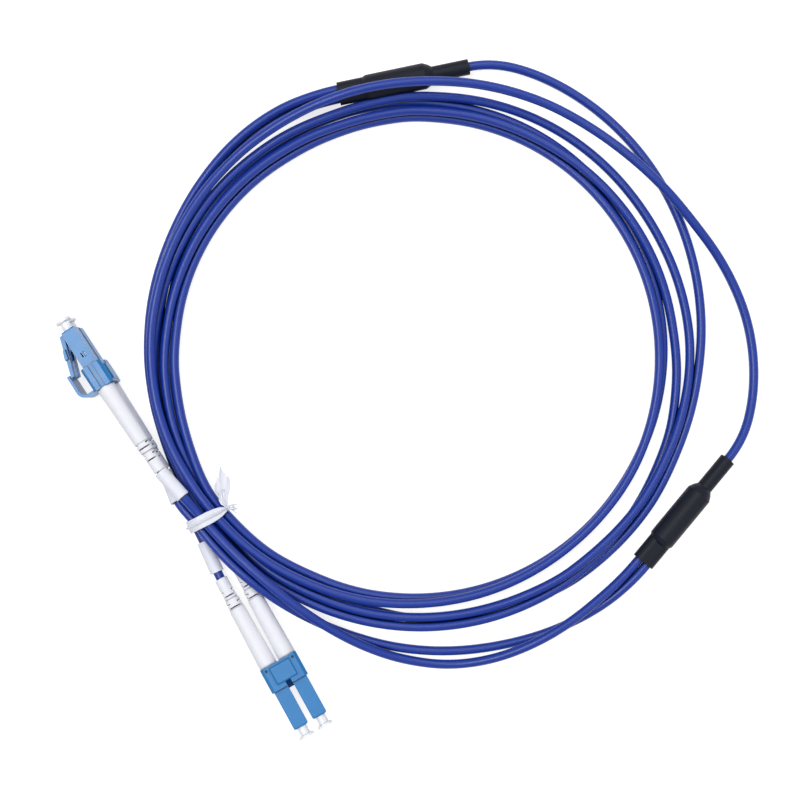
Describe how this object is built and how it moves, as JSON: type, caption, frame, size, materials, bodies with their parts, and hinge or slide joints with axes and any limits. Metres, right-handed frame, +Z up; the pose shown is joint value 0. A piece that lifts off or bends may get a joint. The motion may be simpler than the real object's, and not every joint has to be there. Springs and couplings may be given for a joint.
{
  "type": "armoured fibre patch cord",
  "caption": "Coiled armoured duplex fibre patch cord with blue jacket, black breakout sleeves, white boots and marker sleeves, and clipped small-form plugs with dust caps, held by a twist tie.",
  "frame": {"origin": "middle of the rigid pieces' bounding box, on the surface that the coil lies on", "axes": "+Z up, square to the plane of the coil; +Y towards the breakout at the top of the picture, +X to its right"},
  "size_m": [0.2106, 0.2032, 0.015],
  "materials": {
    "cable_jacket": "smooth satin jacket",
    "blue_plastic": "moulded satin",
    "clear_white_plastic": "milky soft plastic",
    "white_boot": "smooth satin",
    "white_sleeve": "matt shrunk sleeve",
    "white_tie": "ribbed strip",
    "black_sleeve": "shrunk sleeve, matt",
    "ferrule_ceramic": "polished",
    "plated_metal": "nickel plated"
  },
  "bodies": {
    "cord_set": {"plug_housing_a1": "blue_plastic", "ferrule_a1": "ferrule_ceramic", "ferrule_collar_a1": "plated_metal", "rear_body_a1": "plated_metal", "crimp_sleeve_a1": "plated_metal", "boot_a1": "white_boot", "marker_a1": "white_sleeve", "plug_housing_a2": "blue_plastic", "ferrule_a2": "ferrule_ceramic", "ferrule_collar_a2": "plated_metal", "rear_body_a2": "plated_metal", "crimp_sleeve_a2": "plated_metal", "boot_a2": "white_boot", "marker_a2": "white_sleeve", "plug_housing_b1": "blue_plastic", "ferrule_b1": "ferrule_ceramic", "ferrule_collar_b1": "plated_metal", "rear_body_b1": "plated_metal", "crimp_sleeve_b1": "plated_metal", "boot_b1": "white_boot", "marker_b1": "white_sleeve", "plug_housing_b2": "blue_plastic", "ferrule_b2": "ferrule_ceramic", "ferrule_collar_b2": "plated_metal", "rear_body_b2": "plated_metal", "crimp_sleeve_b2": "plated_metal", "boot_b2": "white_boot", "marker_b2": "white_sleeve", "duplex_clip_a": "blue_plastic", "breakout_a": "black_sleeve", "duplex_clip_b": "blue_plastic", "breakout_b": "black_sleeve", "tie": "white_tie", "coil": "cable_jacket", "trunk_head": "cable_jacket", "trunk_tail": "cable_jacket", "leg_a1": "cable_jacket", "leg_a2": "cable_jacket", "leg_b1": "cable_jacket", "leg_b2": "cable_jacket"},
    "trigger_a": {"clip_trigger_a": "blue_plastic"},
    "trigger_b": {"clip_trigger_b": "blue_plastic"},
    "latch_lever_a1": {"latch_a1": "blue_plastic"},
    "cap_a1": {"dust_cap_a1": "clear_white_plastic"},
    "latch_lever_a2": {"latch_a2": "blue_plastic"},
    "cap_a2": {"dust_cap_a2": "clear_white_plastic"},
    "latch_lever_b1": {"latch_b1": "blue_plastic"},
    "cap_b1": {"dust_cap_b1": "clear_white_plastic"},
    "latch_lever_b2": {"latch_b2": "blue_plastic"},
    "cap_b2": {"dust_cap_b2": "clear_white_plastic"}
  },
  "joints": [
    {"name": "trigger_press_a", "type": "hinge", "parent": "cord_set", "child": "trigger_a", "pos_m": [-0.0354, -0.08008, 0.00488], "axis": [-0.864, -0.4787, 0.1558], "range_deg": [0, 8], "stiffness_Nm_per_rad": 0.0005},
    {"name": "trigger_press_b", "type": "hinge", "parent": "cord_set", "child": "trigger_b", "pos_m": [-0.08984, 0.00138, 0.00625], "axis": [0, 0, -1], "range_deg": [0, 8], "stiffness_Nm_per_rad": 0.0005},
    {"name": "latch_flex_a1", "type": "hinge", "parent": "cord_set", "child": "latch_lever_a1", "pos_m": [-0.0288, -0.0971, 0.00929], "axis": [0.864, 0.4787, -0.1558], "range_deg": [0, 5.2]},
    {"name": "cap_slide_a1", "type": "slide", "parent": "cord_set", "child": "cap_a1", "axis": [0.5006, -0.8498, 0.165], "range_m": [0, 0.012]},
    {"name": "latch_flex_a2", "type": "hinge", "parent": "cord_set", "child": "latch_lever_a2", "pos_m": [-0.02339, -0.09411, 0.00832], "axis": [0.864, 0.4787, -0.1558], "range_deg": [0, 5.2]},
    {"name": "cap_slide_a2", "type": "slide", "parent": "cord_set", "child": "cap_a2", "axis": [0.5006, -0.8498, 0.165], "range_m": [0, 0.012]},
    {"name": "latch_flex_b1", "type": "hinge", "parent": "cord_set", "child": "latch_lever_b1", "pos_m": [-0.09916, 0.01739, 0.00313], "axis": [0, 0, 1], "range_deg": [0, 5.2]},
    {"name": "cap_slide_b1", "type": "slide", "parent": "cord_set", "child": "cap_b1", "axis": [-0.5446, 0.8387, 0], "range_m": [0, 0.012]},
    {"name": "latch_flex_b2", "type": "hinge", "parent": "cord_set", "child": "latch_lever_b2", "pos_m": [-0.09916, 0.01739, 0.00937], "axis": [0, 0, 1], "range_deg": [0, 5.2]},
    {"name": "cap_slide_b2", "type": "slide", "parent": "cord_set", "child": "cap_b2", "axis": [-0.5446, 0.8387, 0], "range_m": [0, 0.012]}
  ],
  "couplings": [
    {"joint": "latch_flex_a1", "follows": "trigger_press_a", "ratio": 0.65},
    {"joint": "latch_flex_a2", "follows": "trigger_press_a", "ratio": 0.65},
    {"joint": "latch_flex_b1", "follows": "trigger_press_b", "ratio": 0.65},
    {"joint": "latch_flex_b2", "follows": "trigger_press_b", "ratio": 0.65}
  ]
}
